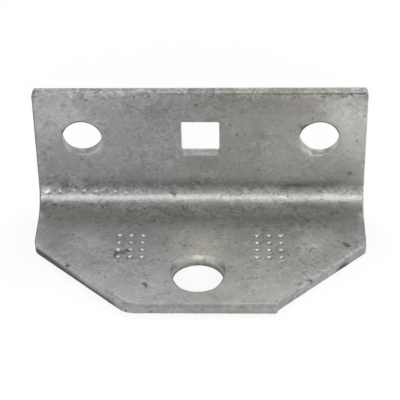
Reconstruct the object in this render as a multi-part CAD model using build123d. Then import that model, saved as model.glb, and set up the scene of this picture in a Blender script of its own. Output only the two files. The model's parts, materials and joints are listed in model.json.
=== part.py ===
from build123d import *
import math
import os

# A stamped angle bracket: one blank of galvanised steel strip, pierced, cropped at two corners,
# prick-punched for grip and folded once to a right angle.
# Millimetres. X runs along the fold, Y from the front edge of the foot to the wall's back face,
# Z up from the foot's underside. The origin is under the middle of the bounding box.

# Strip and fold
strip_width = 88.9  # 3 1/2 in, along the fold
strip_thickness = 3.2  # 1/8 in with its zinc
bend_radius = 6.4  # on the inside of the fold, twice the thickness
wall_height = 39.4  # underside of the foot to the wall's top edge
foot_length = 46.0  # back face of the wall to the foot's front edge

# Pierced holes
wall_hole_diameter = 10.6
wall_hole_end_distance = 12.5  # hole centre to the end of the strip
wall_hole_height = 24.8  # hole centre over the underside
square_hole_side = 10.5
square_hole_corner_radius = 0.5
foot_hole_diameter = 13.8
foot_hole_setback = 12.95  # hole centre behind the foot's front edge
foot_hole_shift = -0.3  # hole centre off the middle of the strip

# Cropped front corners of the foot
crop_width = 25.4
crop_length = 25.2
crop_shift = 0.3  # both crops sit this far towards +X
left_shoulder_radius = 4.0
right_shoulder_radius = 1.2
left_nose_radius = 4.0
right_nose_radius = 0.8
right_land_length = 1.4  # short side left between the right crop and the front edge
right_land_slant = 0.5
wall_corner_radius = 1.0

# Edges left by the tools: rolled over on the punch side, a burr worn off on the die side
outline_rollover = 0.6
hole_rollover = 0.8
burr_bevel = 0.2

# Prick-punched grip pits, two grids on the foot
pit_mouth = 1.3
pit_floor = 0.2
pit_depth = 0.6
pit_pitch_x = 3.175
pit_pitch_y = 3.1
pit_columns = 3
pit_rows = 4
pit_grid_offset = 18.5  # middle of a grid to the middle of the strip
pit_grid_setback = 22.1  # middle of a grid to the wall's back face

# Planes and lines that the pieces above share
back_face = foot_length / 2
front_edge = -foot_length / 2
wall_inner_face = back_face - strip_thickness
strip_end = strip_width / 2
outer_bend_radius = bend_radius + strip_thickness


def folded_strip():
    """The strip with its fold, square at its ends."""
    profile = FilletPolyline(
        (back_face, 0),
        (back_face, wall_height),
        (wall_inner_face, wall_height),
        (wall_inner_face, strip_thickness),
        (front_edge, strip_thickness),
        (front_edge, 0),
        radius=(outer_bend_radius, 0, 0, bend_radius, 0, 0),
        close=True,
    )
    return extrude(Plane.YZ * make_face(profile), strip_end, both=True)


def wall_outline():
    """The wall's rounded top corners, as a block that the strip is trimmed to."""
    outline = FilletPolyline(
        (-strip_end, 0),
        (-strip_end, wall_height),
        (strip_end, wall_height),
        (strip_end, 0),
        radius=(0, wall_corner_radius, wall_corner_radius, 0),
        close=True,
    )
    return extrude(Plane.XZ * make_face(outline), foot_length, both=True)


def foot_outline():
    """The foot's cropped front corners, as a block that the strip is trimmed to."""
    left_nose = -strip_end + crop_width + crop_shift
    right_nose = strip_end - crop_width + crop_shift
    shoulder = front_edge + crop_length
    land_start = right_nose + right_land_length * (strip_end - right_nose) / crop_length
    outline = FilletPolyline(
        (-strip_end, back_face),
        (-strip_end, shoulder),
        (left_nose, front_edge),
        (land_start - right_land_slant, front_edge),
        (land_start, front_edge + right_land_length),
        (strip_end, shoulder),
        (strip_end, back_face),
        radius=(
            0,
            left_shoulder_radius,
            left_nose_radius,
            right_nose_radius,
            right_nose_radius,
            right_shoulder_radius,
            0,
        ),
        close=True,
    )
    return extrude(make_face(outline), wall_height)


def hole_tools():
    """Punches for the two round wall holes, the square one between them and the foot hole."""
    wall_plane = Plane((0, back_face, wall_hole_height), x_dir=(1, 0, 0), z_dir=(0, -1, 0))
    hole_spacing = strip_width - 2 * wall_hole_end_distance
    wall_holes = GridLocations(hole_spacing, 1, 2, 1) * Circle(wall_hole_diameter / 2)
    square = RectangleRounded(square_hole_side, square_hole_side, square_hole_corner_radius)
    foot_centre = Pos(foot_hole_shift, front_edge + foot_hole_setback, 0)
    return [
        extrude(wall_plane * Sketch(wall_holes), strip_thickness),
        extrude(wall_plane * square, strip_thickness),
        extrude(foot_centre * Circle(foot_hole_diameter / 2), strip_thickness),
    ]


def pit_tools():
    """Blunt four-sided points, in two grids, that press the grip pits into the foot."""
    near = (pit_mouth - pit_floor) / 2
    far = (pit_mouth + pit_floor) / 2
    stand = (Align.CENTER, Align.MIN, Align.CENTER)
    point = Wedge(pit_mouth, pit_depth, pit_mouth, near, near, far, far, align=stand)
    point = Pos(0, 0, strip_thickness) * Rot(X=-90) * point
    centres = Pos(0, back_face - pit_grid_setback, 0) * GridLocations(2 * pit_grid_offset, 1, 2, 1)
    grid = GridLocations(pit_pitch_x, pit_pitch_y, pit_columns, pit_rows)
    return [centre * place * point for centre in centres for place in grid]


def skin(body, depth):
    """Wall, fold and foot faces that lie this deep in the strip from its outer side."""
    wall_plane = back_face - depth
    fold_radius = outer_bend_radius - depth
    reach = fold_radius * math.sqrt(0.5)
    fold_middle = (0, back_face - outer_bend_radius + reach, outer_bend_radius - reach)
    wall = body.faces().filter_by(Plane.XZ).sort_by(lambda face: abs(face.center().Y - wall_plane))
    foot = body.faces().filter_by(Plane.XY).sort_by(lambda face: abs(face.center().Z - depth))
    fold = body.faces().filter_by(GeomType.CYLINDER).sort_by_distance(fold_middle)
    return [wall[0], fold[0], foot[0]]


def outline_rim(body, depth):
    """Edges round the whole of a skin, without the seams between its faces."""
    edges = [edge for face in skin(body, depth) for edge in face.edges()]
    return [edge for edge in edges if sum(edge.is_same(other) for other in edges) == 1]


def hole_rims(body, depth):
    """Edges of the holes in a skin."""
    wires = [wire for face in skin(body, depth) for wire in face.inner_wires()]
    return [edge for wire in wires for edge in wire.edges()]


def bracket():
    """The finished stamping."""
    body = folded_strip() & wall_outline() & foot_outline()
    body = fillet(outline_rim(body, strip_thickness), outline_rollover)
    body = chamfer(outline_rim(body, 0), burr_bevel)
    body = body - hole_tools()
    body = fillet(hole_rims(body, strip_thickness), hole_rollover)
    body = chamfer(hole_rims(body, 0), burr_bevel)
    return body - pit_tools()


part = bracket()
part.label = "bracket"
os.makedirs("parts", exist_ok=True)
export_step(part, "parts/bracket.step")
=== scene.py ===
"""A galvanised angle bracket: a flat blank is pierced and cropped in the script, and Geometry Nodes
press its grip pits, lump its zinc and fold it. It stands on a pale floor under soft studio light."""

import cmath
import json
import math

import bmesh
import bpy
import numpy as np
from bpy.props import FloatProperty, FloatVectorProperty, IntProperty, PointerProperty
from bpy.types import Operator, Panel, PropertyGroup
from mathutils import Matrix, Vector, kdtree, noise
from mathutils.geometry import delaunay_2d_cdt


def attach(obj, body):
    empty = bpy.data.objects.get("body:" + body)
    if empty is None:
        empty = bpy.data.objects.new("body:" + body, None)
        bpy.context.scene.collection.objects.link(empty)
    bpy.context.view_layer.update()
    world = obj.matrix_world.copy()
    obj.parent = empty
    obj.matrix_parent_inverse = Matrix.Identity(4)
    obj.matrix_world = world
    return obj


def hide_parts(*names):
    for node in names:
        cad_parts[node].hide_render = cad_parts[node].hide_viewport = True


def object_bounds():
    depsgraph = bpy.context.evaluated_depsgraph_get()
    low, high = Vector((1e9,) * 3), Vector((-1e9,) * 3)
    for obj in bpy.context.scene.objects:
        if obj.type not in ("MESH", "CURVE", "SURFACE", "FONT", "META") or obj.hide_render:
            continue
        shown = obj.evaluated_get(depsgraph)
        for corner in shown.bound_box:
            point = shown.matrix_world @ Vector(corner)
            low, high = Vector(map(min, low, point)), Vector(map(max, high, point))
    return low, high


bl_info = {
    "name": "Galvanised angle bracket",
    "version": (1, 0, 0),
    "blender": (4, 5, 0),
    "location": "View3D > Sidebar > Bracket",
    "description": "Makes a stamped and folded angle bracket and the studio it stands in",
    "category": "Add Mesh",
}

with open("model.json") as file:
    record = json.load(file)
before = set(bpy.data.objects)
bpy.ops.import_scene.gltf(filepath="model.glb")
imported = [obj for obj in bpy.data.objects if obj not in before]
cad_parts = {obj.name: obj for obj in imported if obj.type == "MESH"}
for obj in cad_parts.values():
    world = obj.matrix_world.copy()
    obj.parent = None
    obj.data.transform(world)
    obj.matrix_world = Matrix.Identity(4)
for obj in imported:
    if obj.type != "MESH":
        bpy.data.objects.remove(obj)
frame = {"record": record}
CAD_BOX = [list(corner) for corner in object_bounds()]
CAD_LOW, CAD_HIGH = CAD_BOX
MOUNTS = {mount["name"]: mount for mount in frame["record"]["mounts"]}
WALL_BOLTS, FOOT_BOLT = MOUNTS["wall_bolts"], MOUNTS["foot_hole"]

MM = 0.001
WHITE = (1.0, 1.0, 1.0, 1.0)

# Numbers of the blank's cut edges
OUTLINE, SQUARE, LEFT_HOLE, RIGHT_HOLE, FOOT_HOLE = range(5)


# Node trees written as Python expressions


def math_method(operation, turned=False):
    """A method that adds a Math node, with the wire as its second value where turned."""

    def method(wire, *others):
        values = (*others, wire) if turned else (wire, *others)
        return wire.graph.math(operation, *values)

    return method


class Wire:
    """One output of a node. Arithmetic on it adds Math nodes to its tree."""

    def __init__(self, graph, made, socket):
        self.graph, self.made, self.socket = graph, made, socket

    def __getitem__(self, name):
        """Another output of the same node."""
        found = next(s for s in self.made.outputs if s.enabled and s.name == name)
        return Wire(self.graph, self.made, found)

    def math(self, operation, *others):
        return self.graph.math(operation, self, *others)

    def held(self, low, high):
        return self.math("MAXIMUM", low).math("MINIMUM", high)

    __add__, __radd__ = math_method("ADD"), math_method("ADD", turned=True)
    __sub__, __rsub__ = math_method("SUBTRACT"), math_method("SUBTRACT", turned=True)
    __truediv__, __rtruediv__ = math_method("DIVIDE"), math_method("DIVIDE", turned=True)
    __mul__, __gt__ = math_method("MULTIPLY"), math_method("GREATER_THAN")
    __abs__ = math_method("ABSOLUTE")


class Graph:
    """A node tree and the ways to add to it."""

    def __init__(self, tree):
        self.tree = tree
        tree.nodes.clear()

    def node(self, kind, settings=None, values=None):
        """Adds a node: first its settings, then the values or wires of its sockets."""
        made = self.tree.nodes.new(kind)
        for name, value in (settings or {}).items():
            setattr(made, name, value)
        sockets = [s for s in made.inputs if s.enabled]
        for key, value in (values or {}).items():
            numbered = isinstance(key, int)
            socket = sockets[key] if numbered else next(s for s in sockets if s.name == key)
            if isinstance(value, Wire):
                self.tree.links.new(value.socket, socket)
            else:
                socket.default_value = value
        shown = [s for s in made.outputs if s.enabled]
        return Wire(self, made, shown[0]) if shown else None

    def math(self, operation, *values):
        return self.node("ShaderNodeMath", {"operation": operation}, dict(enumerate(values)))

    def vector(self, operation, *values):
        return self.node("ShaderNodeVectorMath", {"operation": operation}, dict(enumerate(values)))

    def split(self, vector):
        return self.node("ShaderNodeSeparateXYZ", values={0: vector})

    def rise(self, value, low, high, start=0.0, end=1.0):
        """A smooth step from start at low to end at high."""
        ends = {"Value": value, "From Min": low, "From Max": high, "To Min": start, "To Max": end}
        return self.node("ShaderNodeMapRange", {"interpolation_type": "SMOOTHSTEP"}, ends)

    def clouds(self, place, scale, detail=3.0, roughness=0.55, distortion=0.0):
        values = {"Vector": place, "Scale": scale, "Detail": detail, "Roughness": roughness}
        return self.node("ShaderNodeTexNoise", values={**values, "Distortion": distortion})


# Sizes and colours that a user would change


def number_prop(name, description, default, subtype="NONE", **more):
    return FloatProperty(name=name, description=description, default=default, subtype=subtype, **more)


def length_prop(name, description, millimetres):
    return number_prop(name, description, millimetres * MM, "DISTANCE", unit="LENGTH", precision=5)


def share_prop(name, description, default):
    return number_prop(name, description, default, "FACTOR")


def angle_prop(name, description, degrees):
    return number_prop(name, description, math.radians(degrees), "ANGLE", unit="ROTATION")


def colour_prop(name, description, colour):
    return FloatVectorProperty(name=name, description=description, default=colour, subtype="COLOR", size=3)


class BracketSizes(PropertyGroup):
    """Sizes of the strip, its fold, its holes and its pits."""

    strip_width: length_prop("Strip width", "Along the fold", (CAD_HIGH[0] - CAD_LOW[0]) / MM)
    foot_length: length_prop("Foot length", "Back face to front edge", (CAD_HIGH[1] - CAD_LOW[1]) / MM)
    wall_height: length_prop("Wall height", "Underside to top edge", (CAD_HIGH[2] - CAD_LOW[2]) / MM)
    strip_thickness: length_prop("Strip thickness", "Steel and zinc", 3.2)
    inside_radius: length_prop("Inside radius", "Radius on the inside of the fold", 6.4)
    neutral_radius: length_prop("Neutral radius", "Radius that keeps its length in the fold", 7.8)
    fold_angle: angle_prop("Fold angle", "Foot to wall", 90)
    wall_hole_radius: length_prop("Wall hole radius", "In the wall", WALL_BOLTS["dims"]["hole_r_mm"])
    wall_hole_spacing: length_prop("Wall hole spacing", "Centres", WALL_BOLTS["dims"]["spacing_x_mm"])
    square_hole_side: length_prop("Square hole side", "Hole in the middle of the wall", 10.5)
    foot_hole_radius: length_prop("Foot hole radius", "In the foot", FOOT_BOLT["dims"]["r_mm"])
    edge_roll: share_prop("Edge rollover", "Of straight edges, against its usual size", 1.0)
    hole_roll: share_prop("Hole rollover", "Of round rims, against its usual size", 1.0)
    pit_mouth: length_prop("Pit mouth", "Side of a grip pit", 1.5)
    pit_floor: length_prop("Pit floor", "Side of its flat floor", 0.15)
    pit_depth: length_prop("Pit depth", "Depth of a grip pit", 0.95)
    pit_pitch_across: length_prop("Pit pitch across", "Along the fold", 3.175)
    pit_pitch_along: length_prop("Pit pitch along", "Away from the fold", 3.1)
    pit_columns: IntProperty(name="Pit columns", description="Pits across a grid", default=3)
    pit_rows: IntProperty(name="Pit rows", description="Pits along a grid", default=4)
    pit_grid_offset: length_prop("Grid offset", "Middle of a grid to the middle of the strip", 18.5)
    pit_grid_setback: length_prop("Grid setback", "Middle of a grid to the back face", 22.1)
    pit_unevenness: share_prop("Pit unevenness", "How much shallower a pit may be", 0.15)
    zinc_relief: length_prop("Zinc relief", "Depth of the lumps in the zinc", 0.05)
    zinc_lump: length_prop("Zinc lump size", "Size of the lumps in the zinc", 4.0)
    seed: IntProperty(name="Seed", description="For the unevenness of the pits", default=7)


class ZincColours(PropertyGroup):
    """Finish of the zinc."""

    zinc: colour_prop("Zinc", "Plain weathered zinc", (0.296, 0.297, 0.292))
    # Also the colour of the painted shade on cut faces, rims and ends
    stain_and_shade: colour_prop("Stain", "Dark specks and scuffs", (0.045, 0.045, 0.043))
    metallic: share_prop("Metallic", "How metallic the zinc is", 0.6)
    roughness: share_prop("Roughness", "Middle roughness of the zinc", 0.41)


class StudioLook(PropertyGroup):
    """Camera and light."""

    azimuth: angle_prop("Azimuth", "Camera's turn round the bracket", 1.8999)
    elevation: angle_prop("Elevation", "Camera's height over the floor", 36.4923)
    roll: angle_prop("Roll", "Camera's tilt", -1.0262)
    distance: length_prop("Distance", "Camera to its aim", 439.765)
    focal_length: number_prop("Focal length", "In millimetres", 148.561)
    aim: FloatVectorProperty(
        name="Aim", description="Point that the camera looks at",
        default=(0.059 * MM, 8 * MM, 13.361 * MM), subtype="TRANSLATION", unit="LENGTH",
    )
    floor: colour_prop("Floor", "Colour of the floor", (0.9, 0.9, 0.895))
    world: number_prop("World", "Strength of the even light", 0.09)
    key: number_prop("Key", "Strength of the lamp in front", 7.4)
    top: number_prop("Top", "Strength of the lamp above", 3.75)
    right: number_prop("Right", "Strength of the lamps on the right", 5.0)
    left: number_prop("Left", "Strength of the lamps on the left", 3.5)
    near: number_prop("Near", "Strength of the small lamps at both ends", 1.25)


# The flat blank

SMALLEST_CURVE = 0.04
SILL_REACH = 5.6
RIM_PITCH, INNER_PITCH, OUTER_PITCH, PIT_PITCH = 0.45, 0.5, 0.8, 0.11


def ramp(values, start, stop):
    """0 before start and 1 beyond stop, which may be the lower of the two."""
    return np.clip((values - start) / (stop - start), 0, 1)


def hump(values, middle, width):
    """1 in the middle, falling softly to 0."""
    return np.exp(-(((values - middle) / width) ** 2))


def soft(points, centre, across, along):
    """An oval spot: 1 in its middle, falling softly to 0."""
    return hump(points.real, centre.real, across) * hump(points.imag, centre.imag, along)


def rounded(corners, inset):
    """Points along a rounded outline, moved inset to its left. Their number doesn't depend on inset."""
    points = [complex(u, v) for u, v, _ in corners]
    runs = [after - before for before, after in zip(points, points[1:] + points[:1])]
    arcs = []
    for i, (_, _, radius) in enumerate(corners):
        before, after = runs[i - 1] / abs(runs[i - 1]), runs[i] / abs(runs[i])
        turn = cmath.phase(after / before)
        side = math.copysign(1, turn)
        moved = points[i] + inset * 1j * (before + after) / (1 + (after * before.conjugate()).real)
        curve = max(radius - side * inset, SMALLEST_CURVE)
        start = moved - before * curve * math.tan(abs(turn) / 2)
        centre = start + 1j * side * before * curve
        steps = 3 + round(radius * abs(turn) / RIM_PITCH)
        arcs.append(centre + (start - centre) * np.exp(1j * turn * np.linspace(0, 1, steps + 1)))
    loop = []
    for arc, following, run in zip(arcs, arcs[1:] + arcs[:1], runs):
        steps = max(1, round(abs(run) / RIM_PITCH))
        loop += [arc, np.linspace(arc[-1], following[0], steps + 1)[1:-1]]
    return np.concatenate(loop)


def ring(centre, radius, inset):
    """Points round a hole, clockwise, moved inset away from its centre."""
    steps = 4 * round(math.pi / 2 * radius / RIM_PITCH)
    return centre + (radius + inset) * np.exp(-2j * math.pi * np.arange(steps) / steps)


# A rim rolls over on the punch side: tilts in degrees and lengths in mm, from the cut to the face
EDGE_ROLL = (
    (80, 0.1), (66, 0.1), (54, 0.1), (44, 0.12), (34, 0.15), (26, 0.18),
    (18, 0.22), (11, 0.25), (5, 0.25),
)
SQUARE_ROLL = ((75, 0.07), (55, 0.07), (38, 0.08), (24, 0.1), (12, 0.1), (4, 0.12))
WALL_HOLE_ROLL = (
    (82, 0.12), (72, 0.14), (62, 0.16), (52, 0.18), (42, 0.2), (33, 0.22),
    (22, 0.12), (10, 0.12),
)
FOOT_HOLE_ROLL = (
    (80, 0.06), (70, 0.08), (63, 0.16), (59, 0.24), (56, 0.4), (53, 0.42),
    (49, 0.34), (43, 0.2), (32, 0.1), (18, 0.06), (7, 0.05),
)

# Under the roll: inset and height of the burr and of the broken zone, and shares of the burnished one
WORN_BURR = ((0.34, 0.0), (0.17, 0.03), (0.06, 0.1), (0.02, 0.22))
BROKEN_ZONE = ((0.05, 0.4), (0.06, 0.8), (0.03, 1.15), (0.0, 1.35))
BROKEN_HEIGHT = BROKEN_ZONE[-1][1]
BURNISHED = (0.22, 0.4, 0.55, 0.7, 0.88)

# Where a wall hole's rim is worn most, and how much more it rolls there, across and deep
WORN_RIMS = {LEFT_HOLE: (0.6 - 0.8j, 0.5, 0.42), RIGHT_HOLE: (-0.8 - 0.6j, 0.85, 0.65)}


def edge_section(thickness, roll, scale):
    """A sheared edge, from the outer face to the inner one: distance in from the cut, and height."""
    steps = [scale * length * cmath.exp(1j * math.radians(tilt)) for tilt, length in roll]
    path = np.cumsum([0, *steps])
    rolled = [(place.real, thickness + (place - path[-1]).imag) for place in path]
    burnished = [(0.0, BROKEN_HEIGHT + (rolled[0][1] - BROKEN_HEIGHT) * share) for share in BURNISHED]
    return [*WORN_BURR, *BROKEN_ZONE, *burnished, *rolled]


def uneven(loop, size, seed):
    """A smooth random number from -1 to 1 at each point."""
    return np.array([noise.noise(Vector((p.real / size, p.imag / size, seed))) for p in loop])


class Blank:
    """The strip before it is folded, in millimetres: u along the fold, v from the front edge of the
    foot to the top edge of the wall, w from the outer face to the inner one."""

    def __init__(self, sizes):
        self.sizes = sizes
        self.width, self.thickness = sizes.strip_width / MM, sizes.strip_thickness / MM
        self.outside = (sizes.inside_radius + sizes.strip_thickness) / MM
        self.foot_run = sizes.foot_length / MM - self.outside
        self.wall_start = self.foot_run + sizes.neutral_radius / MM * sizes.fold_angle
        self.length = self.wall_start + sizes.wall_height / MM - self.outside
        self.sag = 0.25  # the top edge's left end is this much lower
        self.hole_height = WALL_BOLTS["pos_m"][2] / MM
        foot_x, foot_y, _ = FOOT_BOLT["pos_m"]
        self.foot_hole = self.on_foot(foot_x / MM, foot_y / MM)

    def on_foot(self, x, y):
        """Blank place of an x and y on the foot, in the bracket's frame."""
        return complex(x, y - CAD_LOW[1] / MM)

    def on_wall(self, x, z):
        """Blank place of an x and z on the wall."""
        return complex(x, self.wall_start + z - self.outside)

    def in_fold(self, x, degrees):
        """Blank place of an x and a turn from the foot."""
        return complex(x, self.foot_run + math.radians(degrees) * self.sizes.neutral_radius / MM)

    def spots(self, table):
        """Rows of a table by face, with their first two numbers turned into places on the blank."""
        faces = {"wall": self.on_wall, "fold": self.in_fold, "foot": self.on_foot}
        return [(faces[face](x, y), *rest) for face, rows in table.items() for x, y, *rest in rows]

    def below_top(self, points):
        """How far points lie below the top edge."""
        return self.length - self.sag * (0.5 - points.real / self.width) - points.imag

    def near_sill(self, points):
        """Which points are close to the square hole's lower edge."""
        return abs(points - self.on_wall(0, self.hole_height - 5.2)) < SILL_REACH

    def outline(self):
        """Corners of the blank with their radii, anticlockwise from the left nose."""
        end, top = self.width / 2, self.length
        left_nose, shoulder = -18.75, 25.2
        land_start, land_slant, land_length = 20.744, 0.5, 1.4
        return [
            (left_nose, 0.0, 6.0), (land_start - land_slant, 0.0, 0.8), (land_start, land_length, 0.8),
            (end, shoulder, 1.2), (end, top, 1.0), (-end, top - self.sag, 1.0), (-end, shoulder, 4.0),
        ]

    def square(self):
        """Corners of the square hole, a little narrow and high, with their radii."""
        side = self.sizes.square_hole_side / MM / 2
        half, radius = side - 0.12, 0.5
        sill = self.on_wall(0, self.hole_height - side + 0.2).imag
        lintel = self.on_wall(0, self.hole_height + side + 0.27).imag
        return [(u, v, radius) for u, v in ((-half, sill), (-half, lintel), (half, lintel), (half, sill))]

    def rolled_share(self, number, loop):
        """How much of the usual rollover a rim has, round the outline or a hole: across and deep."""
        if number == OUTLINE:
            top = ramp(loop.imag, self.length - 2.5, self.length - 1)
            end = ramp(loop.imag, 25, 27)
            front = ramp(loop.imag, 1.6, 0.4)
            left, right = ramp(loop.real, -16, -20), ramp(loop.real, 20, 24)
            across = 0.75 + 0.75 * left + 0.35 * right - (0.3 + 0.7 * left + 0.35 * right) * end
            deep = 0.8 + 0.2 * left - 0.1 * right - 0.25 * end
            return (across - 0.42 * front) * (1 - 0.7 * top), (deep - 0.42 * front) * (1 - 0.6 * top)
        if number == SQUARE:
            return np.ones(len(loop)), np.full(len(loop), 0.35)
        away = loop - loop.mean()
        towards = away / abs(away)
        if number == FOOT_HOLE:
            share = np.interp(towards.imag, (-0.8, -0.3, 0.0, 0.55, 0.8), (0.6, 0.1, 0.1, 0.85, 1.0))
            return share, share
        aim, across, deep = WORN_RIMS[number]
        worn = ramp((towards / aim).real, -0.3, 1.0) ** 1.5
        return 0.3 + across * worn, 0.3 + deep * worn

    def shift(self, number, share, outward):
        """How a hole's wall leans and flares, from its outer face (share -1) to the inner one (1)."""
        inner = max(share, 0.0)
        low, high = np.clip(-outward.imag, 0, 1), np.clip(outward.imag, 0, 1)
        if number == OUTLINE:
            return 0.0
        if number == SQUARE:
            return outward.real * 0.1 * share - 0.05j * (1 + share) * low
        if number == FOOT_HOLE:
            return 0.08 - 0.3j * inner + outward * (0.1 * inner + 0.22 * min(share, 0))
        raised = inner * (0.42 * low + 0.15 * high)
        if number == LEFT_HOLE:
            lean = 0.06
            raised = raised + low * (0.12 * inner + (0.3 + 0.15 * outward.real) * (1 - inner))
        else:
            lean = -0.06
            corner = ramp(-outward.real, 0.3, 0.8) * low
            raised = raised + 0.3 * corner * (1 - inner) + 0.25 * inner * high * outward.real
        return 0.08 + lean * (1 + share) + 1j * raised

    def cut_edges(self):
        """For the outline and each hole: its points at an inset, its rollover and that one's scale."""
        s = self.sizes
        made = [
            (lambda inset: rounded(self.outline(), inset), EDGE_ROLL, s.edge_roll),
            (lambda inset: rounded(self.square(), inset), SQUARE_ROLL, s.edge_roll),
        ]
        half_spacing, wall_radius = s.wall_hole_spacing / MM / 2, s.wall_hole_radius / MM
        for centre, radius, roll in (
            (self.on_wall(-half_spacing, self.hole_height), wall_radius, WALL_HOLE_ROLL),
            (self.on_wall(half_spacing, self.hole_height), wall_radius, WALL_HOLE_ROLL),
            (self.foot_hole, s.foot_hole_radius / MM, FOOT_HOLE_ROLL),
        ):
            made.append((lambda inset, c=centre, r=radius: ring(c, r, inset), roll, s.hole_roll))
        return made

    def pits(self):
        """Centres of the grip pits."""
        s = self.sizes
        columns = (np.arange(s.pit_columns) - (s.pit_columns - 1) / 2) * s.pit_pitch_across / MM
        rows = (np.arange(s.pit_rows) - (s.pit_rows - 1) / 2) * s.pit_pitch_along / MM
        middle = (s.foot_length - s.pit_grid_setback) / MM
        grids = (-s.pit_grid_offset / MM, s.pit_grid_offset / MM)
        return [complex(g + c, middle + r) for g in grids for c in columns for r in rows]

    def skin_points(self, edge_points, pitch, patches):
        """Points that fill a face between its edges, with finer square patches where asked."""
        patch_gap, edge_gap = 0.6 * pitch, 0.55 * pitch
        columns = np.linspace(-self.width / 2, self.width / 2, round(self.width / pitch) + 1)
        stops = (0, self.foot_run, self.wall_start, self.length)
        rows = [np.linspace(a, b, round((b - a) / pitch) + 1) for a, b in zip(stops, stops[1:])]
        rows = np.unique(np.concatenate(rows))
        points = (columns[None, :] + 1j * rows[:, None]).ravel()
        for centre, half, _ in patches:
            away = points - centre
            points = points[np.maximum(abs(away.real), abs(away.imag)) > half + patch_gap]
        fine = []
        for centre, half, step in patches:
            side = np.linspace(-half, half, 2 * round(half / step) + 1)
            fine.append((centre + side[None, :] + 1j * side[:, None]).ravel())
        points = np.concatenate([points, *fine])
        tree = kdtree.KDTree(len(edge_points))
        for i, point in enumerate(edge_points):
            tree.insert((point.real, point.imag, 0), i)
        tree.balance()
        clear = [tree.find((p.real, p.imag, 0))[2] > edge_gap for p in points]
        return points[np.array(clear)]


def inside(loop, points):
    """Which points lie inside a loop."""
    after = np.roll(loop, -1)
    found = []
    for part in np.array_split(points, 1 + len(points) // 2000):
        over = part.imag[:, None]
        crossed = (loop.imag > over) != (after.imag > over)
        climb = np.where(crossed, after.imag - loop.imag, 1.0)
        at = loop.real + (over - loop.imag) * (after.real - loop.real) / climb
        found.append(np.count_nonzero(crossed & (at > part.real[:, None]), axis=1) % 2 == 1)
    return np.concatenate(found)


def skin_faces(loops, inner_points):
    """Triangles between an outline, the holes in it and the points of a face."""
    points = np.concatenate([*loops, inner_points])
    sizes = [len(loop) for loop in loops]
    owner = np.repeat(np.arange(len(sizes) + 1), [*sizes, len(inner_points)])
    edges = []
    for start, size in zip(np.cumsum([0, *sizes]), sizes):
        ids = start + np.arange(size)
        edges += list(zip(ids.tolist(), np.roll(ids, -1).tolist()))
    flat = [Vector((p.real, p.imag)) for p in points]
    made, _, triangles, sources, _, _ = delaunay_2d_cdt(flat, edges, [], 0, 1e-7, True)
    if len(made) != len(points):
        raise RuntimeError("two points of a face lie on each other")
    triangles = np.array([ids[0] for ids in sources])[np.array(triangles)]
    middle = points[triangles].mean(1)
    same = (owner[triangles] == owner[triangles][:, :1]).all(1)
    outside = same & (owner[triangles[:, 0]] == 0)
    outside[outside] = ~inside(loops[0], middle[outside])
    for number in range(1, len(loops)):
        outside |= same & (owner[triangles[:, 0]] == number)
    return triangles[~outside]


# How its zinc has worn and stained, and the light and shade painted on it

# Broad patches, by face: x and z on the wall, x and the turn in degrees in the fold, or x and y on
# the foot, half-widths across and along, and how much lighter, for all channels or for each. Some
# are the zinc's own tints; many are painted light and shade, such as the dark band along the wall
# by the fold and the lighter ends of the wall
TINT_AND_LIGHT_PATCHES = {"wall": (
    (-38, 32, 9, 7, (0.24, 0.24, 0.25)), (40, 31, 7.5, 10, (0.42, 0.4, 0.38)),
    (4, 37, 20, 5, (-0.17, -0.16, -0.17)), (17, 37, 10, 3.5, -0.14),
    (-11.3, 33.2, 3.8, 3.6, (-0.2, -0.16, -0.08)), (4.5, 31.5, 3, 2.2, -0.14),
    (36, 34, 9, 4.5, (0.14, 0.14, 0.12)), (42, 24, 4, 6, 0.12), (-42.5, 16, 4, 6, -0.16),
    (28.6, 36, 3, 2.5, (-0.08, -0.14, -0.15)), (-16, 20, 9, 5, (0.09, 0.09, 0.1)),
    (21, 18, 7, 5, (0.12, 0.12, 0.09)), (0, 16, 14, 5, -0.1),
    (-4, 10, 48, 1.9, (-0.36, -0.36, -0.35)), (29, 9.6, 8, 1.5, -0.18),
    (37, 20, 6, 3, (0.1, 0.09, 0.07)), (-6.6, 23, 1.2, 4, 0.12), (-38.5, 25, 2.5, 4, -0.1),
    (22, 39.2, 12, 1.2, (0.03, 0.04, -0.1)), (36, 10.5, 7, 1.3, -0.14),
), "fold": (
    (-30, 70, 12, 1, (0, 0, -0.01)), (10, 70, 30, 1, (0.06, 0.05, -0.05)),
    (31, 42, 5, 1.6, (-0.16, -0.13, -0.2)), (0, 62, 40, 0.6, (0, -0.03, 0.02)), (38, 50, 6, 3, 0.12),
    (-42.5, 76, 1.6, 1.4, 0.8), (0, 22, 70, 3, (0.13, 0.13, 0.07)), (41, 76, 4, 1.4, 0.22),
    (22, 80, 5, 1, -0.08), (28, 86, 9, 1.3, -0.08), (-43, 25, 2, 4, -0.15),
    (-27, 67, 9, 0.8, (0, -0.03, 0.06)),
), "foot": (
    (1.4, 0.2, 5, 2.6, (0.05, 0.01, -0.07)), (-30.9, 0.5, 3.5, 0.8, (0.05, -0.02, -0.02)),
    (2, 0, 38, 9, (0.12, 0.12, 0.1)), (-2, 9.5, 36, 5.5, (0.18, 0.18, 0.16)), (-25, 12, 8, 2.5, 0.1),
    (32, 8, 5, 4, 0.12), (16, 0, 4, 4, 0.08), (1.2, -3.4, 4.8, 3.6, (0.36, 0.35, 0.32)),
    (0, -5.5, 8, 2.5, 0.12), (-40, 0, 4, 6, -0.12), (0, -20, 24, 6, -0.19),
    (15.5, -21.5, 2.2, 1.2, -0.18), (43.5, -1, 2.5, 3, -0.2), (0, -2, 60, 14, 0.05),
    (-17, -16, 4, 4, -0.1), (-35, -9, 3, 2, -0.12), (42, -7, 2, 3, -0.12), (5, 8, 26, 3, 0.09),
)}

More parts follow.
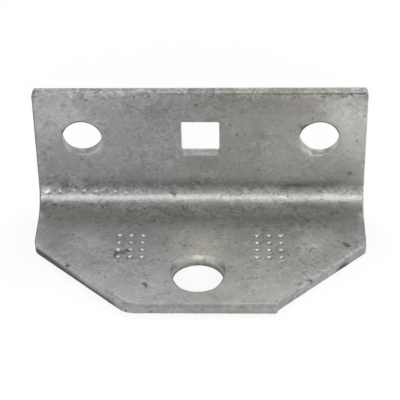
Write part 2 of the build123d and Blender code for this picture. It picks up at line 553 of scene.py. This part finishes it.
# Small dark marks, by face in the same way: place, half-widths and strength
STAINS = {"wall": (
    (-0.9, 35.8, 0.8, 0.6, 0.9), (27, 28.8, 1.6, 2.2, 0.6), (-22.6, 31.4, 0.7, 0.4, 0.5),
    (-14, 31.7, 0.6, 0.5, 0.5), (11.2, 33.6, 1.2, 0.8, 0.55), (-42.1, 23, 0.5, 0.6, 0.5),
    (25.5, 9.8, 6, 0.45, 0.85), (40.5, 13.7, 1.5, 1.3, 0.7), (36.8, 12.5, 0.5, 0.5, 0.5),
    (38, 38.5, 1.6, 0.5, 0.7), (33, 38.4, 0.8, 0.5, 0.6), (42.3, 38.3, 1, 0.8, 0.6),
    (29, 38.7, 0.7, 0.4, 0.5), (-41.5, 37.8, 0.8, 0.4, 0.5), (-31, 38.2, 0.9, 0.35, 0.5),
    (-26, 38.2, 1.2, 0.35, 0.5),
), "fold": (
    (-7.4, 66.5, 0.7, 0.5, 1), (-40.3, 41, 1, 0.6, 1), (-38, 39, 0.8, 0.5, 0.6),
    (-37.3, 30, 1.8, 0.9, 0.35), (-33, 44, 2.2, 0.5, 0.3), (24, 26, 5, 0.6, 0.3),
    (35, 40, 3.5, 0.6, 0.35), (3, 33, 6, 0.6, 0.25), (-15.4, 31, 0.7, 0.5, 0.9),
    (39.2, 69, 1.3, 0.35, 0.7),
), "foot": (
    (39.4, 1.5, 0.8, 0.9, 1.2), (38.6, 2.4, 0.8, 0.5, 1), (-27.5, 7.8, 0.6, 0.5, 0.8),
    (-14.1, -14.7, 0.9, 0.7, 1), (-13.6, -15.8, 0.5, 0.9, 0.9), (25.9, -14.8, 1.2, 0.8, 0.7),
    (-10, -18.9, 0.7, 0.5, 0.7), (-24.4, -11.9, 0.7, 0.4, 0.9), (-35, -7.1, 1.1, 0.5, 1.4),
    (-23.6, -0.7, 0.9, 0.5, 0.7), (-22.2, -2, 0.7, 1.4, 0.65), (-20.2, -1.8, 1.8, 0.9, 0.75),
    (-22.6, -3.3, 0.6, 0.9, 0.65), (-21.4, -5.2, 0.8, 0.8, 0.85), (-19.2, -0.6, 0.9, 0.6, 0.9),
    (-17.6, -3.9, 1.1, 0.5, 0.7), (25.7, -17.1, 0.6, 0.7, 1), (29.2, -13, 1.3, 0.5, 1.1),
    (20.2, -21.6, 0.5, 0.4, 0.8), (33.2, -3, 0.6, 1, 0.6), (27, -13.6, 0.9, 0.6, 0.6),
    (23.2, -14, 0.9, 0.5, 0.5), (-12, -22.2, 2, 0.35, 0.6), (14, -22.2, 1, 0.4, 0.7),
    (17, -21.8, 0.6, 0.5, 0.8),
)}

# Dross in the fold: x, the turn in degrees and the radius
DROSS = (
    (-42.3, 69, 0.45), (-38.8, 71, 0.6), (-34.6, 74, 0.35), (-32.2, 72, 0.5), (-28.9, 71, 0.55),
    (-27.2, 73, 0.45), (-25.3, 78, 0.35), (-23.4, 71, 0.55), (-20.6, 68, 0.4), (-17.2, 76, 0.35),
    (12, 70, 0.4), (18.5, 74, 0.35), (33.6, 73, 0.4),
)

# Inner rims of the wall holes, for their painted light: x, how much lighter the cut below is painted, and
# which way the painted highlight on their roll lies
LEFT_RIM, RIGHT_RIM = (-31.9, 0.36, 0.6 - 0.8j), (32.0, 0.5, -0.75 - 0.66j)


def bumps_and_dents(blank):
    """Dross and nicks in the zinc: place, radius and rise, in millimetres."""
    fold, foot = blank.in_fold, blank.on_foot
    return [
        *((fold(x, turn), radius, 0.36 * radius) for x, turn, radius in DROSS),
        (fold(-7.4, 66.5), 0.6, -0.22), (foot(39.2, 1.7), 0.7, -0.2), (fold(-40.3, 41), 0.4, -0.12),
        (fold(-15.4, 31), 0.4, -0.12), (foot(28.9, -13.9), 0.5, 0.2), (foot(28.6, -12.9), 0.5, -0.2),
        (foot(20.2, -22.0), 0.45, 0.15), (foot(25.6, -17.0), 0.4, -0.15),
    ]


def cut_shade(blank, number, loop, height):
    """Painted shade on the cut faces, darker towards their outer edge: in the left wall hole and the foot
    hole, on the crops, with a darker spot on the right one, on the left end, and in the recess under the
    front edge's roll.
    """
    if number in (SQUARE, RIGHT_HOLE):
        return np.zeros(len(loop))
    low = ramp(height, 2.5, 0.3)
    if number in (LEFT_HOLE, FOOT_HOLE):
        side = (loop - loop.mean()).real / abs(loop - loop.mean())
        return (0.2 + 0.45 * side if number == LEFT_HOLE else 0.72 + 0.15 * side) * low
    left_crop = ramp(loop.real, -19.5, -22.5) * ramp(loop.imag, 26.5, 24.5)
    right_crop = ramp(loop.real, 20, 23) * ramp(loop.imag, 26, 24)
    left_end = (loop.real < -blank.width / 2 + 1) * ramp(loop.imag, 26, 28)
    left_shoulder = left_crop * ramp(loop.imag, 10, 22)
    dark_spot = soft(loop, complex(38.2, 18.5), 2.2, 2.2)
    dark = left_crop * low**1.25 + 0.63 * left_shoulder * ramp(height, 3.1, 1.6)
    dark += right_crop * (0.12 + 1.3 * dark_spot) * low + 0.35 * left_end * low
    # Painted shade in the recess under the front edge's roll
    front_recess = hump(height, 2.45, 0.25) * (loop.imag < 0.5)
    return dark + 0.22 * front_recess


def painted_cut_lighting(blank, points, height):
    """Painted light and shade on the cut faces and the rolls of the holes: how much lighter they are made.
    """
    # Painted light on the top face, split along its middle
    top_face = ramp(blank.below_top(points), 0.3, 0.2) * (height > 0)
    back = ramp(height, 3.0, 2.75)
    light = back * np.interp(points.real, (-30, -18, -10, 18, 30), (0.28, 0.24, 0.12, 0.22, 0.02))
    light = top_face * (light + (1 - back) * np.interp(points.real, (-20, -5), (0.05, -0.14)))
    # Painted light on the lower face of the square hole and on the foot's front face
    sill = blank.on_wall(0, blank.hole_height - 5.15).imag
    on_sill = blank.near_sill(points) * (abs(points.imag - sill) < 0.3)
    light += on_sill * ramp(height, 2.818, 2.364) * 0.17
    light += (abs(points.imag) < 0.3) * (height > 0.4) * (height < 2.1) * 0.13
    # Far rim of the foot hole: painted shade in its roll and painted light at both sides
    away = points - blank.foot_hole
    rolled = np.interp(height, (1.4, 1.9, 2.3, 2.7, 3.1, 3.2), (-0.03, -0.2, -0.28, -0.48, -0.35, 0))
    sides = np.interp(abs(away.real), (1.5, 2.5, 4, 5, 6.5), (0, 0.35, 0.4, 0.15, 0.1))
    rolled += sides * (height > 1.4) * (height < 3.15)
    light += (abs(away) < 8.6) * (away.imag > 1) * rolled
    # Painted light on the lower walls of the wall holes, and a painted highlight on their rolls where
    # these roll most
    for middle, gain, aim in (LEFT_RIM, RIGHT_RIM):
        away = points - blank.on_wall(middle, blank.hole_height)
        aimed = ramp((away / aim).real, 0, 5.7) ** 3
        light += 0.12 * aimed * (abs(abs(away) - 5.85) < 0.6) * ramp(height, 2.3, 2.6)
        below = (abs(away) < 5.6) & (away.imag < -2.3)
        light += below * gain * (1 - 0.6 * aimed) * ramp(height, 3.1, 2.8)
    return light


def zinc_tint_and_light(blank, points, height):
    """How much lighter each channel of the zinc is: its own tints, and the painted light and shade of the
    patches and the cut faces.
    """
    tint_and_painted_light = np.outer(painted_cut_lighting(blank, points, height), np.ones(3))
    for centre, across, along, change in blank.spots(TINT_AND_LIGHT_PATCHES):
        tint_and_painted_light += soft(points, centre, across, along)[:, None] * change
    on_foot = points.imag < blank.foot_run
    right, far_right = ramp(points.real, -10, 10), ramp(points.real, 12, 24)
    tint_and_painted_light[:, 0] += 0.015 * right * on_foot + 0.012 * far_right
    tint_and_painted_light[:, 2] -= (0.035 - np.where(on_foot, 0.03, 0.01) * far_right) * right
    return tint_and_painted_light


def zinc_stain_and_shade(blank, points, height):
    """How dark the marks and the line under the top edge are, and the painted shade along the wall holes'
    upper rims and both ends of the strip.
    """
    inner = ramp(height, 2.1, 2.6)
    spots = [soft(points, centre, *size) * amount for centre, *size, amount in blank.spots(STAINS)]
    stain_and_shade = sum(spots) * inner
    top_line = ramp(blank.below_top(points), 0.5, 0.2) * ramp(height, 2.8, 3.0)
    stain_and_shade += top_line * np.interp(points.real, (-30, -10, 10, 28, 34), (0.05, 0.4, 0.5, 0.55, 0.65))
    # Painted shade along the upper rims of the wall holes
    for middle, _, _ in (LEFT_RIM, RIGHT_RIM):
        away = points - blank.on_wall(middle, blank.hole_height)
        stain_and_shade += 0.85 * (abs(abs(away) - 5.45) < 0.3) * ramp(away.imag, 1, 2) * inner
    # Painted shade along both ends of the strip, over their rolls
    ends = hump(abs(points.real), blank.width / 2 - 0.05, 0.35) * (height > 2.2)
    right_end = np.where(points.imag < blank.foot_run, 0.7, 0.3)
    return stain_and_shade + ends * np.where(points.real < 0, 0.95, right_end)


def zinc_grit(blank, points, height):
    """How strong the mottle is."""
    wall, foot, fold = blank.on_wall, blank.on_foot, blank.in_fold
    grit = 0.67 + 0.4 * soft(points, foot(-20, -2.5), 4.5, 4)
    grit += np.where(points.imag < blank.foot_run, 0.3, -0.12) * ramp(points.real, 0, 30)
    for middle, width, amount in (
        (fold(0, 78).imag, 3.0, 0.5),
        (fold(0, 30).imag, 3.5, 0.3),
        (wall(0, 10).imag, 3.0, 0.25),
        (blank.length - 0.5, 1.0, 0.9),
    ):
        grit += amount * hump(points.imag, middle, width)
    return grit + 0.8 * blank.near_sill(points) * (height < 2.8)


# The blank as a mesh


class Shell:
    """A mesh as it grows: places on the blank, heights, shares of a cut and shades, and its faces."""

    def __init__(self):
        self.columns, self.faces, self.count = ([], [], [], []), [], 0

    def add(self, *values):
        """Adds points by their place, height, cut and shade, and returns their numbers."""
        size = len(values[0])
        for column, value in zip(self.columns, values):
            column.append(np.zeros(size) + value)
        self.count += size
        return np.arange(self.count - size, self.count)


def add_cut(shell, blank, number, points_at, roll, scale):
    """Adds a cut edge. Returns its outer and its inner rim, each as places and point numbers."""
    thickness = blank.thickness
    section = edge_section(thickness, roll, scale)
    reach, roll_start = section[-1][0], len(section) - len(roll) - 1
    cut_edge = points_at(0.0)
    outward = (points_at(0.3) - cut_edge) / 0.3
    across, deep = blank.rolled_share(number, cut_edge)
    broad, narrow = uneven(cut_edge, 3.5, number + 0.5), uneven(cut_edge, 1.1, number + 9.5)
    calm_across, calm_deep = (0.35, 0.3) if number > SQUARE else (1, 1)
    worn = ((1 + broad) * 0.13 + (1 + narrow) * 0.08) * calm_across
    deep = deep * (1 + (0.2 * broad + 0.15 * narrow) * calm_deep)
    roll_depth = (thickness - section[roll_start][1]) * deep
    groove_share = np.interp(cut_edge.real, (-24, -14), (0.3, 1.0)) * np.clip(0.8 + narrow + broad, 0, 1.3)
    rims = []
    for level, (inset, height) in enumerate(section):
        rolled = level >= roll_start
        inward = (points_at(inset) - cut_edge) * (1 - (worn if rolled else (1 + narrow) * 0.35))
        place = cut_edge + inward * (across if rolled else 1)
        place = place + blank.shift(number, height / thickness * 2 - 1, outward)
        if rolled:
            height = thickness - (thickness - height) * deep
        elif level >= roll_start - len(BURNISHED):
            share = BURNISHED[level - roll_start]
            height = BROKEN_HEIGHT + (thickness - roll_depth - BROKEN_HEIGHT) * share
        height = np.clip(height, 0, thickness) + np.zeros(len(cut_edge))
        if number == OUTLINE and not rolled:
            groove = np.interp(height, (0.3, 2.85, 3.02), (0.0, 0.13, 0.05)) * groove_share
            place = place - 1j * groove * (cut_edge.imag > blank.length - 0.4)
        shade = cut_shade(blank, number, cut_edge, height)
        rims.append((place, shell.add(place, height, 1 - inset / reach, shade)))
    for (_, lower), (_, upper) in zip(rims, rims[1:]):
        shell.faces += np.stack([lower, np.roll(lower, -1), np.roll(upper, -1), upper], 1).tolist()
    return rims[0], rims[-1]


def add_face(shell, blank, rims, pitch, height, patches=(), marks=()):
    """Closes the blank's inner or outer face between its rims."""
    loops = [place for place, _ in rims]
    points = blank.skin_points(np.concatenate(loops), pitch, patches)
    keep = inside(loops[0], points)
    for loop in loops[1:]:
        keep &= ~inside(loop, points)
    points = points[keep]
    heights = np.full(len(points), height)
    for centre, radius, rise in marks:
        heights += rise * hump(abs(points - centre), 0, radius)
    triangles = skin_faces(loops, points)
    ids = np.concatenate([*(row for _, row in rims), shell.add(points, heights, 0.0, 0.0)])
    shell.faces += ids[triangles if height else triangles[:, ::-1]].tolist()


def blank_mesh(blank, marks):
    """The pierced and cropped blank as a closed mesh, in metres."""
    shell = Shell()
    edges = [add_cut(shell, blank, number, *edge) for number, edge in enumerate(blank.cut_edges())]
    outer_rims, inner_rims = zip(*edges)
    border = 0.25
    pit_half = blank.sizes.pit_mouth / MM / 2 + border
    patches = [(centre, pit_half, PIT_PITCH) for centre in blank.pits()]
    patches += [(centre, 2 * radius, radius / 2.5) for centre, radius, _ in marks]
    add_face(shell, blank, inner_rims, INNER_PITCH, blank.thickness, patches, marks)
    add_face(shell, blank, outer_rims, OUTER_PITCH, 0.0)

    place, height, cut, shade = (np.concatenate(column) for column in shell.columns)
    corners = np.stack([place.real, place.imag, height], 1) * MM
    mesh = bpy.data.meshes.new("blank")
    mesh.from_pydata(corners.tolist(), [], shell.faces)
    # The outer face gets the tint, stains and painted light and shade of the inner one, turned round
    place = np.where(height > 0.3, place, -place.real + 1j * (blank.length - place.imag))
    stain_and_shade, grit = zinc_stain_and_shade(blank, place, height), zinc_grit(blank, place, height)
    for name, values in (("cut", cut), ("shade", shade), ("stain_and_shade", stain_and_shade), ("grit", grit)):
        mesh.attributes.new(name, "FLOAT", "POINT").data.foreach_set("value", values.astype(np.float32))
    tint_and_painted_light = zinc_tint_and_light(blank, place, height)
    data = mesh.attributes.new("tint_and_painted_light", "FLOAT_VECTOR", "POINT").data
    data.foreach_set("vector", tint_and_painted_light.astype(np.float32).ravel())
    work = bmesh.new()
    work.from_mesh(mesh)
    triangles = [face for face in work.faces if len(face.verts) == 3]
    bmesh.ops.join_triangles(work, faces=triangles, angle_face_threshold=0.35, angle_shape_threshold=0.8)
    bmesh.ops.delete(work, geom=[v for v in work.verts if not v.link_faces], context="VERTS")
    work.to_mesh(mesh)
    work.free()
    mesh.shade_smooth()
    return mesh


# Pressing and folding

# Inputs of the tree that have the name of a size
SIZE_INPUTS = (
    "Strip thickness", "Inside radius", "Neutral radius", "Fold angle", "Pit mouth", "Pit floor",
    "Pit depth", "Pit pitch across", "Pit pitch along", "Pit columns", "Pit rows", "Pit grid offset",
    "Pit unevenness", "Zinc relief", "Zinc lump", "Seed",
)


def folding_tree(inputs):
    """Geometry Nodes that press the pits, lump the zinc and fold the blank."""
    tree = bpy.data.node_groups.new("Press and fold the blank", "GeometryNodeTree")
    kinds = {float: "NodeSocketFloat", int: "NodeSocketInt"}
    tree.interface.new_socket(name="Blank", in_out="INPUT", socket_type="NodeSocketGeometry")
    for name, value in inputs.items():
        kind = kinds.get(type(value), "NodeSocketMaterial")
        tree.interface.new_socket(name=name, in_out="INPUT", socket_type=kind)
    tree.interface.new_socket(name="Bracket", in_out="OUTPUT", socket_type="NodeSocketGeometry")
    g = Graph(tree)
    given = g.node("NodeGroupInput")
    thickness, floor_side = given["Strip thickness"], given["Pit floor"]
    place = g.node("GeometryNodeInputPosition")
    parts = g.split(place)
    u, v, w = parts["X"], parts["Y"], parts["Z"]

    # Which pit a point belongs to, and where it lies in it
    def cell(along, pitch, number):
        index = (along / pitch + number * 0.5).math("FLOOR").held(0, number - 1)
        return index, abs(along - (index - (number - 1) * 0.5) * pitch)

    columns, rows = given["Pit columns"], given["Pit rows"]
    column, off_column = cell(abs(u) - given["Pit grid offset"], given["Pit pitch across"], columns)
    row, off_row = cell(v - given["Pit grid middle"], given["Pit pitch along"], rows)
    pit = row + rows * (column + columns * (u > 0))
    pressed = g.node(
        "FunctionNodeRandomValue",
        {"data_type": "FLOAT"},
        {"Min": 1 - given["Pit unevenness"], "Max": 1.0, "ID": pit, "Seed": given["Seed"]},
    )
    flank = (given["Pit mouth"] - floor_side) * 0.5
    depth = given["Pit depth"] * pressed
    from_floor = off_column.math("MAXIMUM", off_row) - floor_side * 0.5
    sunk = (depth - from_floor * given["Pit depth"] / flank).held(0, depth)
    lip_width, lip_rise = flank * 0.55, 0.07
    from_mouth = (from_floor - flank * pressed) / lip_width
    lip = (1 - abs(from_mouth - 0.5) * 2).held(0, 1) * given["Pit depth"] * lip_rise
    inner_side = w > thickness * 0.5

    # Lumps draw the faces in, never out
    lumps = g.clouds(place, 1 / given["Zinc lump"], detail=2.5)
    slack = given["Zinc relief"] * lumps.held(0, 1) * 2 / thickness
    drawn = thickness * 0.5 + (w - thickness * 0.5) * (1 - slack)
    depth_in = drawn + (lip - sunk) * inner_side

    # The fold
    neutral, angle = given["Neutral radius"], given["Fold angle"]
    outside = given["Inside radius"] + thickness
    run = v - given["Foot run"]
    turned = (run / neutral).held(0, angle)
    straight = run - turned * neutral
    radius = outside - depth_in
    across, upward = turned.math("SINE"), turned.math("COSINE")
    y = given["Front edge"] + given["Foot run"] + radius * across + straight * upward
    z = outside - radius * upward + straight * across

    flat = g.vector("SCALE", place, 1 / MM)
    kept = g.node(
        "GeometryNodeStoreNamedAttribute",
        {"data_type": "FLOAT_VECTOR", "domain": "POINT"},
        {"Geometry": given["Blank"], "Name": "blank", "Value": flat},
    )
    bent = g.node("ShaderNodeCombineXYZ", values={"X": u, "Y": y, "Z": z})
    folded = g.node("GeometryNodeSetPosition", values={"Geometry": kept, "Position": bent})
    real = g.node("GeometryNodeRealizeInstances", values={"Geometry": folded})
    finished = g.node("GeometryNodeSetMaterial", values={"Geometry": real, "Material": given["Zinc"]})
    g.node("NodeGroupOutput", values={"Bracket": finished})
    return tree


def keep_worked(piece, tree, inputs):
    """Runs a tree on a piece and keeps the result as a plain mesh."""
    modifier = piece.modifiers.new(tree.name, "NODES")
    modifier.node_group = tree
    for item in tree.interface.items_tree:
        if item.in_out == "INPUT" and item.name in inputs:
            modifier[item.identifier] = inputs[item.name]
    view = bpy.context.evaluated_depsgraph_get()
    mesh = bpy.data.meshes.new_from_object(
        piece.evaluated_get(view), preserve_all_data_layers=True, depsgraph=view
    )
    piece.modifiers.remove(modifier)
    piece.data = mesh


# Zinc

# Its mottle from broad to fine: scale per mm, detail, roughness and distortion
MOTTLE = ((0.12, 3.0, 0.55, 0.6), (0.5, 3.0, 0.6, 0.8), (1.3, 2.0, 0.6, 0.5), (3.2, 2.0, 0.6, 0.0))
VEIN_WIDTH = 1 / 16


def zinc_material(colours, blank):
    """Matt, mottled hot-dip zinc, carrying the painted light and shade of the mesh's attributes."""
    material = bpy.data.materials.new("galvanised_zinc")
    material.use_nodes = True
    g = Graph(material.node_tree)

    def attribute(name, output="Fac"):
        return g.node("ShaderNodeAttribute", {"attribute_name": name})[output]

    flat, cut, grit = attribute("blank", "Vector"), attribute("cut"), attribute("grit")
    broad, middle, fine, grain = (g.clouds(flat, *cloud) - 0.5 for cloud in MOTTLE)

    # Mottle and veins
    patchy = g.rise(g.clouds(g.vector("ADD", flat, (9.0, 4.0, 0.0)), 0.16, 2.0), 0.35, 0.65, 0.5, 1.3)
    mottle = (middle * 1.3 + fine + grain * 0.5) * grit * patchy
    veins = g.clouds(flat, 0.4, 2.0, 0.5, 1.2) - 0.5
    veined = g.rise(g.clouds(g.vector("ADD", flat, (3.0, 17.0, 0.0)), 0.12, 2.0), 0.48, 0.6) * grit
    dark_vein = (1 - abs(veins) / VEIN_WIDTH).held(0, 1)
    light_vein = (1 - abs(veins - 0.05) / VEIN_WIDTH).held(0, 1)
    level = 1 + broad * 0.4 + mottle + (light_vein * 0.12 - dark_vein * 0.18) * veined
    # The zinc's own tints, and painted light and shade from the patches and the cut faces
    tinted_and_lit = g.vector("ADD", attribute("tint_and_painted_light", "Vector"), (1.0, 1.0, 1.0))
    tinted_and_lit = g.vector("MULTIPLY", tinted_and_lit, tuple(colours.zinc))
    colour = g.vector("SCALE", tinted_and_lit, level)

    # Stains, specks, and painted shade on the cut faces, along rims and ends
    stained_and_shaded = g.rise(attribute("stain_and_shade") + (fine + grain) * 0.9, 0.3, 0.85) * 0.75
    spots = g.node("ShaderNodeTexVoronoi", {"feature": "F1"}, {"Vector": flat, "Scale": 0.5})
    rarer_on_wall = (g.split(flat)["Y"] > blank.wall_start) * 0.3
    chosen = g.split(spots["Color"])["X"] > 0.54 + rarer_on_wall
    specked = g.rise(spots + fine * 0.5 + grain * 0.4, 0.2, 0.06) * chosen * 0.62
    shaded = g.rise(attribute("shade") + grain * 0.5 * cut, 0.0, 1.05) * 0.92
    dark = stained_and_shaded.math("MAXIMUM", specked).math("MAXIMUM", shaded)
    ends = {"Factor": dark, "A": colour, "B": (*colours.stain_and_shade, 1.0)}
    colour = g.node("ShaderNodeMix", {"data_type": "RGBA"}, ends)

    roughness = colours.roughness + middle * 0.2 + fine * 0.15 + dark * 0.2
    height = (light_vein - dark_vein) * veined * 0.12 + middle * 0.5 + fine * 0.35 + grain * 0.12
    bump = g.node("ShaderNodeBump", values={"Strength": 0.5, "Distance": 0.14 * MM, "Height": height})
    finish = {"Metallic": colours.metallic, "Roughness": roughness.held(0.2, 0.9), "Normal": bump}
    shader = g.node("ShaderNodeBsdfPrincipled", values={"Base Color": colour, **finish})
    g.node("ShaderNodeOutputMaterial", values={"Surface": shader})
    return material


# Operators, panel and main


def direction(azimuth, elevation):
    """Towards a camera or lamp, with azimuth 0 in front of the foot."""
    level = math.cos(elevation)
    return Vector((math.sin(azimuth) * level, -math.cos(azimuth) * level, math.sin(elevation)))


class MakeBracket(Operator):
    """Make the folded and galvanised bracket"""

    bl_idname = "bracket.make_bracket"
    bl_label = "Make the bracket"

    def execute(self, context):
        sizes = context.scene.bracket_sizes
        blank = Blank(sizes)
        piece = bpy.data.objects.new("folded_bracket", blank_mesh(blank, bumps_and_dents(blank)))
        context.collection.objects.link(piece)
        material = zinc_material(context.scene.zinc_colours, blank)
        inputs = {name: getattr(sizes, name.lower().replace(" ", "_")) for name in SIZE_INPUTS}
        inputs["Foot run"], inputs["Front edge"] = blank.foot_run * MM, CAD_LOW[1]
        inputs["Pit grid middle"] = sizes.foot_length - sizes.pit_grid_setback
        inputs["Zinc"] = material
        keep_worked(piece, folding_tree(inputs), inputs)
        if not piece.data.polygons:
            raise RuntimeError("the folding tree made no faces")
        piece.data.materials.clear()
        piece.data.materials.append(material)
        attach(piece, "root")
        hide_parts("bracket")
        return {"FINISHED"}


class SetStage(Operator):
    """Set up the floor, the light and the camera"""

    bl_idname = "bracket.set_stage"
    bl_label = "Set the stage"

    def execute(self, context):
        look = context.scene.studio_look
        self.lay_floor(context, look)
        self.hang_lamps(context, look)
        self.place_camera(context, look)
        return {"FINISHED"}

    def lay_floor(self, context, look):
        mesh = bpy.data.meshes.new("studio_floor")
        far, level = 3.0, CAD_LOW[2] - 0.05 * MM
        corners = [(x * far, y * far, level) for x, y in ((-1, -1), (1, -1), (1, 1), (-1, 1))]
        mesh.from_pydata(corners, [], [(0, 1, 2, 3)])
        floor = bpy.data.objects.new("studio_floor", mesh)
        context.collection.objects.link(floor)
        material = bpy.data.materials.new("studio_floor")
        material.use_nodes = True
        g = Graph(material.node_tree)
        paths = g.node("ShaderNodeLightPath")
        seen = paths["Is Camera Ray"].math("MAXIMUM", paths["Is Glossy Ray"])
        seen = seen.math("MAXIMUM", paths["Is Transmission Ray"])
        matt = g.node("ShaderNodeBsdfDiffuse", values={"Color": (*look.floor, 1.0)})
        white = g.node("ShaderNodeEmission", values={"Color": WHITE, "Strength": 1.0})
        surface = g.node("ShaderNodeMixShader", values={0: seen * 0.85, 1: matt, 2: white})
        g.node("ShaderNodeOutputMaterial", values={"Surface": surface})
        mesh.materials.append(material)

    def hang_lamps(self, context, look):
        """Even light from the world, and soft lamps: azimuth, elevation, distance, width, height."""
        world = bpy.data.worlds.new("studio")
        world.use_nodes = True
        g = Graph(world.node_tree)
        even = g.node("ShaderNodeBackground", values={"Color": WHITE, "Strength": look.world})
        g.node("ShaderNodeOutputWorld", values={"Surface": even})
        context.scene.world = world
        side_share, back_left_share = 0.45, 0.8
        lamps = (
            ("key", 0, 26.5, 0.9, 0.8, 0.27, look.key),
            ("top", 180, 58, 0.9, 0.5, 0.5, look.top),
            ("right", 90, 30, 0.9, 0.6, 0.6, look.right * side_share),
            ("left", -90, 30, 0.9, 0.6, 0.6, look.left * side_share),
            ("back_right", 130, 30, 0.9, 0.4, 0.4, look.right),
            ("back_left", -130, 30, 0.9, 0.4, 0.4, look.left * back_left_share),
            ("near_right", 60, 12, 0.18, 0.12, 0.12, look.near),
            ("near_left", -60, 12, 0.18, 0.12, 0.12, look.near),
        )
        middle = (Vector(CAD_LOW) + Vector(CAD_HIGH)) / 2
        for name, azimuth, elevation, distance, width, height, radiance in lamps:
            back = direction(math.radians(azimuth), math.radians(elevation))
            data = bpy.data.lights.new(name + "_lamp", "AREA")
            data.shape, data.size, data.size_y = "RECTANGLE", width, height
            data.energy = radiance * math.pi * width * height
            lamp = bpy.data.objects.new(data.name, data)
            lamp.location = middle + back * distance
            lamp.rotation_mode = "QUATERNION"
            lamp.rotation_quaternion = back.to_track_quat("Z", "Y")
            context.collection.objects.link(lamp)

    def place_camera(self, context, look):
        data = bpy.data.cameras.new("camera")
        data.sensor_width, data.lens = 36.0, look.focal_length
        data.clip_start, data.clip_end = 0.01, 20.0
        camera = bpy.data.objects.new("camera", data)
        back = direction(look.azimuth, look.elevation)
        level = Vector((math.cos(look.azimuth), math.sin(look.azimuth), 0))
        upright = back.cross(level)
        right = math.cos(look.roll) * level + math.sin(look.roll) * upright
        up = math.cos(look.roll) * upright - math.sin(look.roll) * level
        place = Vector(look.aim) + back * look.distance
        camera.matrix_world = Matrix(
            [(right[i], up[i], back[i], place[i]) for i in range(3)] + [(0, 0, 0, 1)]
        )
        context.collection.objects.link(camera)
        context.scene.camera = camera
        context.scene.view_settings.view_transform = "Standard"


class BracketPanel(Panel):
    """Bracket tools in the sidebar"""

    bl_idname = "VIEW3D_PT_bracket"
    bl_label = "Bracket"
    bl_space_type = "VIEW_3D"
    bl_region_type = "UI"
    bl_category = "Bracket"

    def draw(self, context):
        for key, group in GROUPS.items():
            column = self.layout.column()
            for name in group.__annotations__:
                column.prop(getattr(context.scene, key), name)
        for maker in (MakeBracket, SetStage):
            self.layout.operator(maker.bl_idname)


GROUPS = {"bracket_sizes": BracketSizes, "zinc_colours": ZincColours, "studio_look": StudioLook}
CLASSES = (*GROUPS.values(), MakeBracket, SetStage, BracketPanel)


def register():
    for item in CLASSES:
        bpy.utils.register_class(item)
    for name, group in GROUPS.items():
        setattr(bpy.types.Scene, name, PointerProperty(type=group))


def unregister():
    for name in GROUPS:
        delattr(bpy.types.Scene, name)
    for item in reversed(CLASSES):
        bpy.utils.unregister_class(item)


def main():
    register()
    bpy.ops.bracket.make_bracket()
    bpy.ops.bracket.set_stage()


if __name__ == "__main__":
    main()
